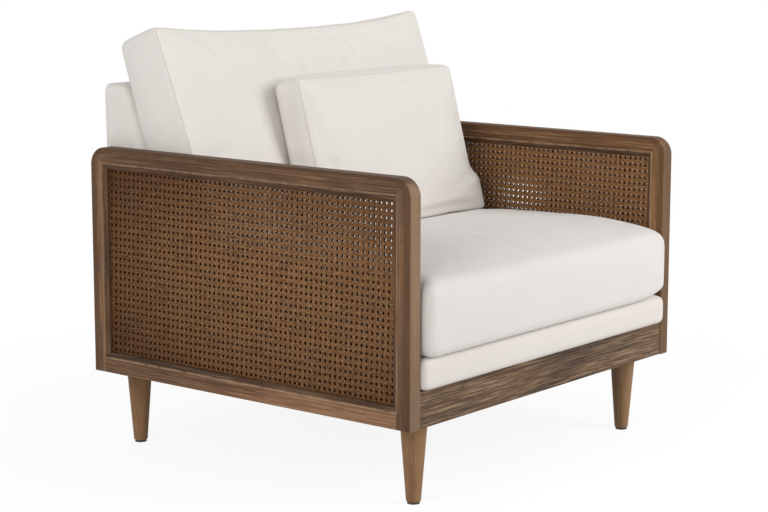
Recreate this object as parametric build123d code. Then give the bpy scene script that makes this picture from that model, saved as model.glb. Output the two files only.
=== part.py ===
from build123d import *
import math
import os

os.makedirs("parts", exist_ok=True)

# Armchair with caned wooden arms, an upholstered seat and back, and three loose cushions.
# Millimetres. X runs to the right seen from the front, the front faces -Y, +Z is up,
# and the floor is at Z = 0.

# Overall chair
chair_width = 880.0
chair_depth = 810.0
lean_angle = 20.8
fit_gap = 0.1
soft_gap = 0.3

# Legs
glide_height = 4.0
glide_radius = 12.0
leg_height = 154.0
leg_top_radius = 26.0
leg_foot_radius = 14.0
leg_foot_chamfer = 1.5
leg_front_inset = 57.5
leg_rear_inset = 41.0
leg_side_inset = 85.0
leg_bolt_radius = 4.0
leg_bolt_in_leg = 40.0
leg_bolt_in_block = 30.0

# Arm frames
arm_height = 455.0
arm_thickness = 32.0
arm_member = 32.0
arm_corner_radius = 36.0
arm_edge_radius = 4.0
tongue_thickness = 8.0
bead_width = 10.0
bead_thickness = 8.0
bead_radius = 5.0
tenon_thickness = 10.0
tenon_width = 18.0
tenon_length = 26.0

# Caned panels, drawn with a coarser mesh than the real weave
cane_thickness = 2.0
cane_columns = 14
cane_rows = 7
cane_strand = 22.0

# Seat base
rail_height = 70.0
rail_setback = 2.0
front_rail_thickness = 25.0
rear_rail_thickness = 22.0
side_rail_thickness = 22.0
cross_rail_thickness = 27.0
rail_edge_radius = 2.0
block_leg = 128.0
block_height = 45.0
base_tenon_thickness = 8.0
base_tenon_width = 34.0
base_tenon_length = 24.0
base_tenon_rise = 28.0
arm_bolt_radius = 4.0
arm_bolt_grip = 20.0
arm_bolt_head_radius = 7.0
arm_bolt_head_height = 5.0
arm_bolt_block_gap = 20.0
arm_bolt_count_each_side = 2
strap_width = 50.0
strap_thickness = 2.0
strap_ledge = 12.0
warp_strap_count = 5
weft_strap_count = 4
dust_cover_thickness = 1.0
dust_cover_inset = 14.0
dust_cover_leg_gap = 6.0

# Upholstered seat deck
deck_thickness = 59.0
deck_side_gap = 5.0
deck_front_overhang = 14.0
deck_corner_radius = 15.0
deck_roll = 9.0

# Upholstered back
back_height = 507.7
back_top_depth = 63.5
back_side_gap = 5.0
back_rear_setback = 0.5
back_front_roll = 22.0
back_rear_roll = 8.0
back_end_roll = 10.0
back_wrap_top = 30.0
post_width = 30.0
post_depth = 45.0
back_rail_height = 60.0
back_low_rail_rise = 40.0
back_panel_thickness = 6.0
back_strap_count = 5
back_bolt_radius = 4.0
back_bolt_grip = 14.0
back_bolt_head_height = 5.0

# Seat cushion
seat_side_gap = 6.0
seat_front_overhang = 25.0
seat_rear_gap = 4.6
seat_boxing = 124.0
seat_crown = 25.0
seat_end_reach = 70.0
seat_front_reach = 110.0
seat_rear_reach = 50.0
seat_draw = 3.0
seat_corner_radius = 30.0

# Back cushion
back_cushion_left_gap = 8.0
back_cushion_right_gap = 1.0
back_cushion_height = 447.0
back_cushion_boxing = 105.0
back_cushion_front_crown = 16.0
back_cushion_rear_crown = 14.0
back_cushion_reach = 190.0
back_cushion_draw_top = 15.0
back_cushion_draw_end = 1.0
back_cushion_corner_radius = 14.0
back_cushion_sink = 6.0

# Lumbar pillow
pillow_lean_angle = 15.2
pillow_width = 496.0
pillow_height = 316.0
pillow_boxing = 60.0
pillow_front_crown = 18.0
pillow_stand_off = 5.5
pillow_reach = 140.0
pillow_draw_top = 8.0
pillow_draw_end = 8.0
pillow_corner_radius = 10.0
pillow_sink = 5.0
pillow_arm_gap = 54.0

# Places that follow from the sizes
half_width = chair_width / 2
half_depth = chair_depth / 2
arm_inner = half_width - arm_thickness
arm_middle = half_width - arm_thickness / 2
base_z = glide_height + leg_height
arm_top = base_z + arm_height
rail_top = base_z + rail_height
front_face = -half_depth + rail_setback
rear_face = half_depth - rail_setback
front_rail_back = front_face + front_rail_thickness
rear_rail_front = rear_face - rear_rail_thickness
side_rail_inner = arm_inner - side_rail_thickness
leg_x = half_width - leg_side_inset
leg_front_y = -half_depth + leg_front_inset
leg_rear_y = half_depth - leg_rear_inset
lean = math.radians(lean_angle)
lean_up = Vector(0, math.sin(lean), math.cos(lean))
lean_front = Vector(0, -math.cos(lean), math.sin(lean))
back_bottom = rail_top + soft_gap
back_top = back_bottom + back_height
back_rear = half_depth - back_rear_setback
back_foot = back_rear - back_top_depth - back_height * math.tan(lean)
back_toe = Vector(0, back_foot, back_bottom)
cross_rail_middle = back_foot
deck_bottom = rail_top + soft_gap
deck_top = deck_bottom + deck_thickness
seat_bottom = deck_top + soft_gap
seat_top = seat_bottom + seat_boxing + seat_crown
loose_bottom = seat_top + soft_gap

nodes = {}


def board(x0, x1, y0, y1, z0, z1):
    middle = Pos((x0 + x1) / 2, (y0 + y1) / 2, (z0 + z1) / 2)
    return middle * Box(abs(x1 - x0), abs(y1 - y0), abs(z1 - z0))


def side_prism(points, x0, x1):
    outline = make_face(Polyline(*points, close=True))
    return extrude(Plane.YZ.offset(x0) * outline, x1 - x0)


def rod(radius, start, end):
    axis = Vector(*end) - Vector(*start)
    face = Plane(origin=start, z_dir=axis) * Circle(radius)
    return extrude(face, axis.length)


def mirrored(shape):
    return mirror(shape, about=Plane.YZ)


def group(solids):
    return Compound(children=[s for shape in solids for s in shape.solids()])


def both_sides(name, shape):
    nodes["right_" + name] = shape
    other = mirrored(shape)
    count = len(other.solids())
    nodes["left_" + name] = other if count == 1 else group([other])


# Legs, glides and what screws them to the base


def leg_places():
    for x in (-leg_x, leg_x):
        for y in (leg_front_y, leg_rear_y):
            yield x, y


def leg_bolt(x, y, grow):
    return rod(
        leg_bolt_radius + grow,
        (x, y, base_z - leg_bolt_in_leg),
        (x, y, base_z + leg_bolt_in_block),
    )


def make_leg(x, y):
    foot = leg_foot_radius - leg_foot_chamfer
    profile = Polyline(
        (0, glide_height),
        (foot, glide_height),
        (leg_foot_radius, glide_height + leg_foot_chamfer),
        (leg_top_radius, base_z),
        (0, base_z),
        close=True,
    )
    turned = revolve(Plane.XZ * make_face(profile), Axis.Z)
    return Pos(x, y, 0) * turned - leg_bolt(x, y, fit_gap)


def make_glide(x, y):
    disc = rod(glide_radius, (0, 0, 0), (0, 0, glide_height))
    return Pos(x, y, 0) * disc


for x, y in leg_places():
    end = "front" if y < 0 else "rear"
    side = "left" if x < 0 else "right"
    nodes[f"leg_{end}_{side}"] = make_leg(x, y)

nodes["leg_glides"] = group([make_glide(x, y) for x, y in leg_places()])
nodes["leg_hanger_bolts"] = group([leg_bolt(x, y, 0) for x, y in leg_places()])

# Arm frames: four members round an opening, with a tongue that carries a cane panel on
# each face. The right arm is made and mirrored.

panel_y = half_depth - arm_member
panel_low = base_z + arm_member
panel_high = arm_top - arm_member
sight_y = panel_y - bead_width
sight_low = panel_low + bead_width
sight_high = panel_high - bead_width
rabbet_depth = (arm_thickness - tongue_thickness) / 2


def arm_blank():
    with_corners = RectangleRounded(chair_depth, arm_height + arm_corner_radius, arm_corner_radius)
    middle_z = base_z + (arm_height - arm_corner_radius) / 2
    face = Pos(0, middle_z) * with_corners
    blank = extrude(Plane.YZ.offset(arm_inner) * face, arm_thickness)
    blank &= board(arm_inner, half_width, -half_depth, half_depth, base_z, arm_top)
    rims = blank.faces().filter_by(Plane.YZ).edges()
    blank = fillet(rims, arm_edge_radius)
    blank -= board(arm_inner, half_width, -sight_y, sight_y, sight_low, sight_high)
    for x0 in (arm_inner, half_width - rabbet_depth):
        blank -= board(x0, x0 + rabbet_depth, -panel_y, panel_y, panel_low, panel_high)
    return blank


def mitre_tenon(side, grow):
    middle_y = side * (half_depth - arm_member / 2 - bead_width / 2)
    middle_z = arm_top - arm_member / 2 - bead_width / 2
    piece = Box(
        tenon_thickness + 2 * grow, tenon_length + 2 * grow, tenon_width + 2 * grow
    )
    return Pos(arm_middle, middle_y, middle_z) * Rot(-45 * side, 0, 0) * piece


def butt_tenon(side, grow):
    piece = Box(
        tenon_thickness + 2 * grow, tenon_length + 2 * grow, tenon_width + 2 * grow
    )
    return Pos(arm_middle, side * panel_y, base_z + arm_member / 2) * piece


blank = arm_blank()
arm_sides = {"front": -1, "rear": 1}
mortises = [mitre_tenon(s, fit_gap) for s in arm_sides.values()]
mortises += [butt_tenon(s, fit_gap) for s in arm_sides.values()]
top_region = [
    (-half_depth, arm_top),
    (half_depth, arm_top),
    (sight_y, sight_high),
    (-sight_y, sight_high),
]
arm_top_rail = blank & side_prism(top_region, arm_inner, half_width)
arm_bottom_rail = blank & board(
    arm_inner, half_width, -panel_y, panel_y, base_z, sight_low
)
stiles = {}
for end, side in arm_sides.items():
    region = [
        (side * half_depth, base_z),
        (side * panel_y, base_z),
        (side * panel_y, sight_low),
        (side * sight_y, sight_low),
        (side * sight_y, sight_high),
        (side * half_depth, arm_top),
    ]
    stiles[end] = blank & side_prism(region, arm_inner, half_width)

arm_bolt_z = base_z + arm_member / 2
arm_bolt_start = front_rail_back + block_leg + arm_bolt_block_gap
arm_bolt_end = rear_rail_front - block_leg - arm_bolt_block_gap
arm_bolt_pitch = (arm_bolt_end - arm_bolt_start) / (arm_bolt_count_each_side - 1)
arm_bolt_ys = [arm_bolt_start + i * arm_bolt_pitch for i in range(arm_bolt_count_each_side)]
for y in arm_bolt_ys:
    arm_bottom_rail -= rod(
        arm_bolt_radius + fit_gap,
        (arm_inner, y, arm_bolt_z),
        (arm_inner + arm_bolt_grip + fit_gap, y, arm_bolt_z),
    )
for mortise in mortises:
    arm_top_rail -= mortise
    arm_bottom_rail -= mortise
    stiles = {end: stile - mortise for end, stile in stiles.items()}

both_sides("arm_top_rail", arm_top_rail)
both_sides("arm_bottom_rail", arm_bottom_rail)
for end, stile in stiles.items():
    both_sides(f"arm_{end}_stile", stile)
tenons = [mitre_tenon(s, 0) for s in arm_sides.values()]
tenons += [butt_tenon(s, 0) for s in arm_sides.values()]
both_sides("arm_tenons", group(tenons))

# Cane panels lie on the two faces of the tongue, each under a mitred bead

cane_pitch_y = 2 * sight_y / cane_columns
cane_pitch_z = (sight_high - sight_low) / cane_rows
sight_middle_z = (sight_low + sight_high) / 2


def cane_panel(x0):
    sheet = Rectangle(
        2 * (panel_y - soft_gap), panel_high - panel_low - 2 * soft_gap
    )
    gaps = GridLocations(cane_pitch_y, cane_pitch_z, cane_columns, cane_rows) * Rectangle(
        cane_pitch_y - cane_strand, cane_pitch_z - cane_strand
    )
    net = Pos(0, sight_middle_z) * (sheet - gaps)
    return extrude(Plane.YZ.offset(x0) * net, cane_thickness)


def bead_strips(x_seat, outward):
    outer = [
        (-panel_y, panel_low),
        (panel_y, panel_low),
        (panel_y, panel_high),
        (-panel_y, panel_high),
    ]
    inner = [
        (-sight_y, sight_low),
        (sight_y, sight_low),
        (sight_y, sight_high),
        (-sight_y, sight_high),
    ]
    x_face = x_seat + outward * bead_thickness
    strips = []
    for i in range(4):
        j = (i + 1) % 4
        points = [outer[i], outer[j], inner[j], inner[i]]
        strip = side_prism(points, min(x_seat, x_face), max(x_seat, x_face))
        middle = Vector(x_face, (inner[i][0] + inner[j][0]) / 2, (inner[i][1] + inner[j][1]) / 2)
        edge = strip.edges().sort_by_distance(middle)[0]
        strips.append(fillet(edge, bead_radius))
    return group(strips)


tongue_outer = half_width - rabbet_depth
tongue_inner = arm_inner + rabbet_depth
both_sides("outer_cane", cane_panel(tongue_outer))
both_sides("inner_cane", cane_panel(tongue_inner - cane_thickness))
both_sides("outer_bead", bead_strips(tongue_outer + cane_thickness, 1))
both_sides("inner_bead", bead_strips(tongue_inner - cane_thickness, -1))

# Seat base: four rails between the arms, a cross rail under the back's toe, corner blocks

ledge_long = rail_top - strap_thickness - fit_gap
ledge_cross = ledge_long - strap_thickness
front_rail = board(-arm_inner, arm_inner, front_face, front_rail_back, base_z, rail_top)
front_rail = fillet(
    front_rail.faces().sort_by(Axis.Y)[0].edges().filter_by(Axis.X), rail_edge_radius
)
front_rail -= board(
    -side_rail_inner,
    side_rail_inner,
    front_rail_back - strap_ledge,
    front_rail_back,
    ledge_long,
    rail_top,
)
rear_rail = board(-arm_inner, arm_inner, rear_rail_front, rear_face, base_z, rail_top)
rear_rail = fillet(
    rear_rail.faces().sort_by(Axis.Y)[-1].edges().filter_by(Axis.X), rail_edge_radius
)
cross_front = cross_rail_middle - cross_rail_thickness / 2
cross_back = cross_rail_middle + cross_rail_thickness / 2
cross_rail = board(-side_rail_inner, side_rail_inner, cross_front, cross_back, base_z, rail_top)
cross_rail -= board(
    -side_rail_inner, side_rail_inner, cross_front, cross_front + strap_ledge, ledge_long, rail_top
)
side_rail = board(
    side_rail_inner, arm_inner, front_rail_back, rear_rail_front, base_z, rail_top
)
side_rail -= board(
    side_rail_inner,
    side_rail_inner + strap_ledge,
    front_rail_back,
    cross_front,
    ledge_cross,
    rail_top,
)

base_tenon_z = base_z + base_tenon_rise
rail_middle_x = (side_rail_inner + arm_inner) / 2


def base_tenons(grow):
    along = base_tenon_length + 2 * grow
    thick = base_tenon_thickness + 2 * grow
    wide = base_tenon_width + 2 * grow
    pieces = []
    for y in (front_rail_back, rear_rail_front):
        pieces.append(Pos(rail_middle_x, y, base_tenon_z) * Box(thick, along, wide))
    pieces.append(Pos(side_rail_inner, cross_rail_middle, base_tenon_z) * Box(along, thick, wide))
    return pieces + [mirrored(piece) for piece in pieces]


for mortise in base_tenons(fit_gap):
    front_rail -= mortise
    rear_rail -= mortise
    cross_rail -= mortise
    side_rail -= mortise

arm_bolts = []
for y in arm_bolt_ys:
    tip = arm_inner + arm_bolt_grip
    side_rail -= rod(
        arm_bolt_radius + fit_gap, (side_rail_inner, y, arm_bolt_z), (arm_inner, y, arm_bolt_z)
    )
    bolt = rod(arm_bolt_radius, (side_rail_inner, y, arm_bolt_z), (tip, y, arm_bolt_z))
    bolt += rod(
        arm_bolt_head_radius,
        (side_rail_inner - arm_bolt_head_height, y, arm_bolt_z),
        (side_rail_inner, y, arm_bolt_z),
    )
    arm_bolts += [bolt, mirrored(bolt)]

post_back = back_rear - back_panel_thickness
post_front = post_back - post_depth
post_outer = side_rail_inner
post_inner = post_outer - post_width
block_top = base_z + block_height
back_bolt_y = (post_front + rear_rail_front) / 2
back_bolt_z = (block_top + rail_top) / 2
side_rail -= rod(
    back_bolt_radius + fit_gap,
    (side_rail_inner, back_bolt_y, back_bolt_z),
    (side_rail_inner + back_bolt_grip + fit_gap, back_bolt_y, back_bolt_z),
)


def corner_block(x_side, y_face, y_side):
    x = x_side * side_rail_inner
    points = [(x, y_face), (x - x_side * block_leg, y_face), (x, y_face - y_side * block_leg)]
    block = extrude(Pos(0, 0, base_z) * make_face(Polyline(*points, close=True)), block_height)
    leg_y = leg_front_y if y_side < 0 else leg_rear_y
    return block - leg_bolt(x_side * leg_x, leg_y, fit_gap)


blocks = []
for x_side in (-1, 1):
    blocks.append(corner_block(x_side, front_rail_back, -1))
    blocks.append(corner_block(x_side, rear_rail_front, 1))

nodes["front_rail"] = front_rail
nodes["rear_rail"] = rear_rail
nodes["cross_rail"] = cross_rail
both_sides("side_rail", side_rail)
nodes["corner_blocks"] = group(blocks)
nodes["base_tenons"] = group(base_tenons(0))
nodes["arm_bolts"] = group(arm_bolts)


def spread(count, low, high):
    return [low + (i + 0.5) * (high - low) / count for i in range(count)]


long_start = front_rail_back - strap_ledge + fit_gap
long_end = cross_front + strap_ledge - fit_gap
cross_half = side_rail_inner + strap_ledge - fit_gap
nodes["seat_webbing_long"] = group(
    [
        board(
            x - strap_width / 2,
            x + strap_width / 2,
            long_start,
            long_end,
            ledge_long,
            ledge_long + strap_thickness,
        )
        for x in spread(warp_strap_count, -side_rail_inner, side_rail_inner)
    ]
)
nodes["seat_webbing_cross"] = group(
    [
        board(
            -cross_half,
            cross_half,
            y - strap_width / 2,
            y + strap_width / 2,
            ledge_cross,
            ledge_cross + strap_thickness,
        )
        for y in spread(weft_strap_count, front_rail_back, cross_front)
    ]
)

cover_x = arm_inner - dust_cover_inset
cover_front = front_face + dust_cover_inset
cover_rear = rear_face - dust_cover_inset
dust_cover = board(
    -cover_x, cover_x, cover_front, cover_rear, base_z - dust_cover_thickness, base_z
)
notch = leg_top_radius + dust_cover_leg_gap
for x, y in leg_places():
    x_edge = math.copysign(cover_x, x)
    y_edge = cover_front if y < 0 else cover_rear
    dust_cover -= board(
        x - math.copysign(notch, x),
        x_edge,
        y - math.copysign(notch, y),
        y_edge,
        base_z - dust_cover_thickness,
        base_z,
    )
nodes["dust_cover"] = dust_cover

# The seat deck is a loft through rounded rectangles. Each loose cushion is an outline whose
# sides are arcs drawn in between the corners, as deep as its boxing, under a crown that
# rises from every seam.

deck_steps = [(0.7, 0.0), (0.2, 0.3), (0.0, 1.0)]


def deck_ring(inset, level):
    face = RectangleRounded(
        deck_width - 2 * inset, deck_rear - deck_front - 2 * inset, deck_corner_radius
    )
    return Pos(0, (deck_front + deck_rear) / 2, deck_bottom + level) * face


def drawn_outline(width, height, draw_long, draw_end, corner):
    w = width / 2
    h = height / 2
    sides = [
        ThreePointArc((-w, -h), (0, draw_long - h), (w, -h)),
        ThreePointArc((w, -h), (w - draw_end, 0), (w, h)),
        ThreePointArc((w, h), (0, h - draw_long), (-w, h)),
        ThreePointArc((-w, h), (draw_end - w, 0), (-w, -h)),
    ]
    return fillet(make_face(sides).vertices(), corner)


def crown_arc(half, side, level, rise, reach):
    radius = (reach**2 + rise**2) / (2 * rise)
    turn = math.asin(reach / abs(radius)) / 2
    middle = (
        side * (half - reach + abs(radius) * math.sin(turn)),
        level + rise - radius + radius * math.cos(turn),
    )
    return ThreePointArc((side * half, level), middle, (side * (half - reach), level + rise))


def crown_line(half, level, rise, low_reach, high_reach):
    if rise == 0:
        return [Line((-half, level), (half, level))]
    flat = Line((low_reach - half, level + rise), (half - high_reach, level + rise))
    return [
        crown_arc(half, -1, level, rise, low_reach),
        flat,
        crown_arc(half, 1, level, rise, high_reach),
    ]


def crown_lens(plane, half, across, boxing, front, rear, reaches):
    edges = crown_line(half, boxing, front, *reaches)
    edges += crown_line(half, 0, -rear, *reaches)
    edges.append(Line((half, boxing), (half, 0)))
    edges.append(Line((-half, boxing), (-half, 0)))
    return extrude(plane * make_face(edges), across, both=True)


def crowned_cushion(width, height, boxing, front, rear, draws, corner, end_reach, long_reaches):
    outline = drawn_outline(width, height, draws[0], draws[1], corner)
    body = extrude(Pos(0, 0, -rear) * outline, rear + boxing + front)
    body &= crown_lens(Plane.XZ, width / 2, height, boxing, front, rear, (end_reach, end_reach))
    body &= crown_lens(Plane.YZ, height / 2, width, boxing, front, rear, long_reaches)
    return body


deck_width = 2 * (arm_inner - deck_side_gap)
deck_front = front_face - deck_front_overhang
deck_rear = back_foot - soft_gap
deck_rings = [deck_ring(deck_roll * i, deck_roll * up) for i, up in deck_steps]
deck_rings += [
    deck_ring(deck_roll * i, deck_thickness - deck_roll * up) for i, up in deck_steps[::-1]
]
nodes["seat_deck"] = loft(deck_rings, ruled=True)

seat_front = -half_depth - seat_front_overhang
seat_rear = back_foot + (seat_bottom - back_bottom) * math.tan(lean) - seat_rear_gap
seat_depth = seat_rear - seat_front
nodes["seat_cushion"] = Pos(0, seat_front + seat_depth / 2, seat_bottom) * crowned_cushion(
    2 * (arm_inner - seat_side_gap),
    seat_depth,
    seat_boxing,
    seat_crown,
    0,
    (seat_draw, seat_draw),
    seat_corner_radius,
    seat_end_reach,
    (seat_front_reach, seat_rear_reach),
)


def leaning(cushion, height, boxing, angle, front_bottom):
    up = Vector(0, math.sin(angle), math.cos(angle))
    front = Vector(0, -math.cos(angle), math.sin(angle))
    plane = Plane(
        origin=front_bottom + up * (height / 2) - front * boxing, x_dir=(1, 0, 0), z_dir=front
    )
    placed = plane * cushion
    return split(placed, bisect_by=Plane.XY.offset(loose_bottom), keep=Keep.TOP)


back_cushion_width = 2 * arm_inner - back_cushion_left_gap - back_cushion_right_gap
back_cushion_offset = (back_cushion_left_gap - back_cushion_right_gap) / 2
back_stack = soft_gap + back_cushion_rear_crown + back_cushion_boxing
back_seam_z = loose_bottom - back_cushion_sink
back_seam_rise = (back_seam_z - back_toe.Z - back_stack * lean_front.Z) / lean_up.Z
back_seam = Vector(back_cushion_offset, 0, 0) + back_toe
back_seam += lean_up * back_seam_rise + lean_front * back_stack
nodes["back_cushion"] = leaning(
    crowned_cushion(
        back_cushion_width,
        back_cushion_height,
        back_cushion_boxing,
        back_cushion_front_crown,
        back_cushion_rear_crown,
        (back_cushion_draw_top, back_cushion_draw_end),
        back_cushion_corner_radius,
        back_cushion_reach,
        (back_cushion_reach, back_cushion_reach),
    ),
    back_cushion_height,
    back_cushion_boxing,
    lean,
    back_seam,
)

pillow_lean = math.radians(pillow_lean_angle)
pillow_rear = pillow_boxing + pillow_stand_off
pillow_seam = Vector(
    arm_inner - pillow_arm_gap - pillow_width / 2,
    back_seam.Y - pillow_rear / math.cos(pillow_lean),
    loose_bottom - pillow_sink,
)
nodes["lumbar_pillow"] = leaning(
    crowned_cushion(
        pillow_width,
        pillow_height,
        pillow_boxing,
        pillow_front_crown,
        0,
        (pillow_draw_top, pillow_draw_end),
        pillow_corner_radius,
        pillow_reach,
        (pillow_reach, pillow_reach),
    ),
    pillow_height,
    pillow_boxing,
    pillow_lean,
    pillow_seam,
)

# Upholstered back: a wedge of padding over a wooden frame with webbing, closed by a rear panel

back_half = arm_inner - back_side_gap
frame_top = back_top - back_wrap_top


def back_section(x, inset):
    slant = inset / math.cos(lean)
    top = back_top - inset
    front_top = back_foot + slant + (top - back_bottom) * math.tan(lean)
    corners = [
        (back_foot + slant, back_bottom),
        (back_rear - inset, back_bottom),
        (back_rear - inset, top),
        (front_top, top),
    ]
    face = make_face(Polyline(*corners, close=True))
    upper = face.vertices().sort_by(Axis.Y)
    face = fillet(upper[-2:].sort_by(Axis.X)[0], back_front_roll)
    face = fillet(face.vertices().sort_by(Axis.X)[-2:].sort_by(Axis.Y)[-1], back_rear_roll)
    return Plane.YZ.offset(x) * face


end_steps = [(0, 1), (0.08, 0.6), (0.3, 0.29), (0.6, 0.08), (1, 0)]
back_sections = [
    back_section(-back_half + back_end_roll * along, back_end_roll * inset)
    for along, inset in end_steps
]
back_sections += [
    back_section(back_half - back_end_roll * along, back_end_roll * inset)
    for along, inset in end_steps[::-1]
]
wedge = loft(back_sections, ruled=True)
strap_front = post_front - strap_thickness
wedge -= board(
    -post_outer - fit_gap,
    post_outer + fit_gap,
    strap_front - fit_gap,
    back_rear,
    back_bottom,
    frame_top + fit_gap,
)
nodes["back_padding"] = wedge

post = board(post_inner, post_outer, post_front, post_back, rail_top, frame_top)
post += board(post_inner, post_outer, post_front, rear_rail_front, block_top, rail_top)
post_hole_start = (post_inner, back_bolt_y, back_bolt_z)
post_hole_end = (post_outer, back_bolt_y, back_bolt_z)
post -= rod(back_bolt_radius + fit_gap, post_hole_start, post_hole_end)
bolt_tip = (side_rail_inner + back_bolt_grip, back_bolt_y, back_bolt_z)
bolt_head = (post_inner - back_bolt_head_height, back_bolt_y, back_bolt_z)
back_bolt = rod(back_bolt_radius, post_hole_start, bolt_tip)
back_bolt += rod(2 * back_bolt_radius, bolt_head, post_hole_start)
both_sides("back_post", post)
nodes["back_bolts"] = group([back_bolt, mirrored(back_bolt)])
top_rail_bottom = frame_top - back_rail_height
low_rail_bottom = rail_top + back_low_rail_rise
low_rail_top = low_rail_bottom + back_rail_height
nodes["back_top_rail"] = board(
    -post_inner, post_inner, post_front, post_back, top_rail_bottom, frame_top
)
nodes["back_low_rail"] = board(
    -post_inner,
    post_inner,
    post_front,
    post_back,
    low_rail_bottom,
    low_rail_top,
)
nodes["back_webbing"] = group(
    [
        board(
            -post_outer + strap_ledge,
            post_outer - strap_ledge,
            strap_front,
            post_front,
            z - strap_width / 2,
            z + strap_width / 2,
        )
        for z in spread(back_strap_count, low_rail_top, top_rail_bottom)
    ]
)
nodes["back_panel"] = board(
    -post_outer, post_outer, post_back, back_rear, back_bottom, frame_top
)

# The seat reaches past the arms at the front, so the whole chair is moved until the origin
# lies under the middle of its box

boxes = [shape.bounding_box() for shape in nodes.values()]
middle_y = (min(box.min.Y for box in boxes) + max(box.max.Y for box in boxes)) / 2


def recentred(shape):
    solids = [Pos(0, -middle_y, 0) * solid for solid in shape.solids()]
    return solids[0] if len(solids) == 1 else group(solids)


centred = {name: recentred(shape) for name, shape in nodes.items()}
for name, shape in centred.items():
    export_step(shape, f"parts/{name}.step")
print(len(centred), "nodes, moved", round(-middle_y, 3))
for name in ("seat_cushion", "back_cushion", "lumbar_pillow", "back_padding", "seat_deck"):
    box = centred[name].bounding_box()
    print(name, [round(v, 1) for v in (*box.min, *box.max)], round(centred[name].volume / 1e6, 2))
print("lean axis", [round(v, 5) for v in lean_up], "seat top", round(seat_top, 2))
print("seams", back_seam - Vector(0, middle_y, 0), pillow_seam - Vector(0, middle_y, 0))
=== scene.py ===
import itertools
import math
from functools import cache

import bpy
import numpy as np
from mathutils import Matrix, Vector


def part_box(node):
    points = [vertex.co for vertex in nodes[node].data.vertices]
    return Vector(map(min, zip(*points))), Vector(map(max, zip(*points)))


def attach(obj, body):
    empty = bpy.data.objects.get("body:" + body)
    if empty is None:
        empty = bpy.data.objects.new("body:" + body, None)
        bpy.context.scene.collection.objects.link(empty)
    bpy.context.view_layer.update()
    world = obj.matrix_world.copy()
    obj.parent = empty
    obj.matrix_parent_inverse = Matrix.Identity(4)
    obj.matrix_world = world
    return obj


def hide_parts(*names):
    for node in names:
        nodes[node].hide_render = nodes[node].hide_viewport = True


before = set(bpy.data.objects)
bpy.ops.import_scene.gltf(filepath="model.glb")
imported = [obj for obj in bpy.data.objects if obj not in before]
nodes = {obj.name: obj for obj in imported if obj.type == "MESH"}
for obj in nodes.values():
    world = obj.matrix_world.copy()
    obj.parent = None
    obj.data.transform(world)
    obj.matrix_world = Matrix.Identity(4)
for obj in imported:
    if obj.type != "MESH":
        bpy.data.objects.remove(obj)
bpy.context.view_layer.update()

scene = bpy.context.scene
rng = np.random.default_rng(41)
armLow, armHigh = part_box("left_arm_top_rail")
armMiddle = (armLow.y + armHigh.y) / 2
print("frame loaded:", len(nodes), "nodes")


# Small helpers for node trees and meshes

nodesAcross, nodeSpacing = 8, (220, -260)  # how a node tree is laid out
tiny = 1e-9     # the least that anything is divided by


def setAll(thing, **values):
    for label, value in values.items():
        setattr(thing, label, value)


def setInputs(node, given):
    # by label or in order; an output is plugged in, a number or a colour is set
    for label, value in given.items() if isinstance(given, dict) else enumerate(given):
        if isinstance(value, bpy.types.NodeSocket):
            node.id_data.links.new(value, node.inputs[label])
        elif value is not None:
            node.inputs[label].default_value = value


def addNode(tree, kind, given=(), prefix="ShaderNode", **settings):
    row, column = divmod(len(tree.nodes), nodesAcross)
    node = tree.nodes.new(prefix + kind)
    setAll(node, location=(column * nodeSpacing[0], row * nodeSpacing[1]), **settings)
    setInputs(node, given)
    return node


def newGroup(name, inputs, outputs):
    # an input's kind comes from its first value: none for a vector, a tuple for a colour
    tree = bpy.data.node_groups.new(name, "ShaderNodeTree")
    kinds = {type(None): "Vector", tuple: "Color", float: "Float"}
    for label, value in inputs.items():
        kind = "NodeSocket" + kinds[type(value)]
        socket = tree.interface.new_socket(label, in_out="INPUT", socket_type=kind)
        if value is not None:
            socket.default_value = value
    for label, kind in outputs.items():
        tree.interface.new_socket(label, in_out="OUTPUT", socket_type="NodeSocket" + kind)
    given, out = [addNode(tree, "Group" + end, prefix="Node") for end in ("Input", "Output")]
    return tree, given.outputs, out


def useGroup(tree, group, **given):
    return addNode(tree, "Group", given, node_tree=group).outputs


def mathNode(how, *values, clamp=False):
    tree = next(v.id_data for v in values if isinstance(v, bpy.types.NodeSocket))
    return addNode(tree, "Math", values, operation=how, use_clamp=clamp).outputs[0]


def times(a, b, added=None, clamp=False):
    return mathNode("MULTIPLY" if added is None else "MULTIPLY_ADD", a, b, added, clamp=clamp)


def plus(a, b, clamp=False):
    return mathNode("ADD", a, b, clamp=clamp)


def minus(a, b):
    return mathNode("SUBTRACT", a, b)


def vectorMath(how, *vectors):
    return addNode(vectors[0].id_data, "VectorMath", vectors, operation=how).outputs


def stretched(vector, scale):
    return vectorMath("MULTIPLY", vector, scale)["Vector"]


def splitVector(vector):
    return addNode(vector.id_data, "SeparateXYZ", [vector]).outputs


def mapped(place, **given):
    return addNode(place.id_data, "Mapping", {"Vector": place, **given}).outputs["Vector"]


def objectPlace(tree):
    return addNode(tree, "TexCoord").outputs["Object"]


def geometry(tree):
    return addNode(tree, "NewGeometry").outputs


def mixColour(factor, a, b, how="MIX"):
    given = {0: factor, 6: a, 7: b}     # the sockets for colours
    return addNode(factor.id_data, "Mix", given, data_type="RGBA", blend_type=how).outputs[2]


def noise(vector, scale, detail=2.0, rough=0.5, distort=0.0):
    given = {"Vector": vector, "Scale": scale, "Detail": detail, "Roughness": rough, "Distortion": distort}
    return addNode(vector.id_data, "TexNoise", given).outputs["Fac"]


def ramp(value, low, high):
    given = {"Value": value, "From Min": low, "From Max": high}
    return addNode(value.id_data, "MapRange", given, interpolation_type="SMOOTHSTEP").outputs["Result"]


def bumped(height, strength, distance):
    given = {"Height": height, "Strength": strength, "Distance": distance}
    return addNode(height.id_data, "Bump", given).outputs["Normal"]


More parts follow.
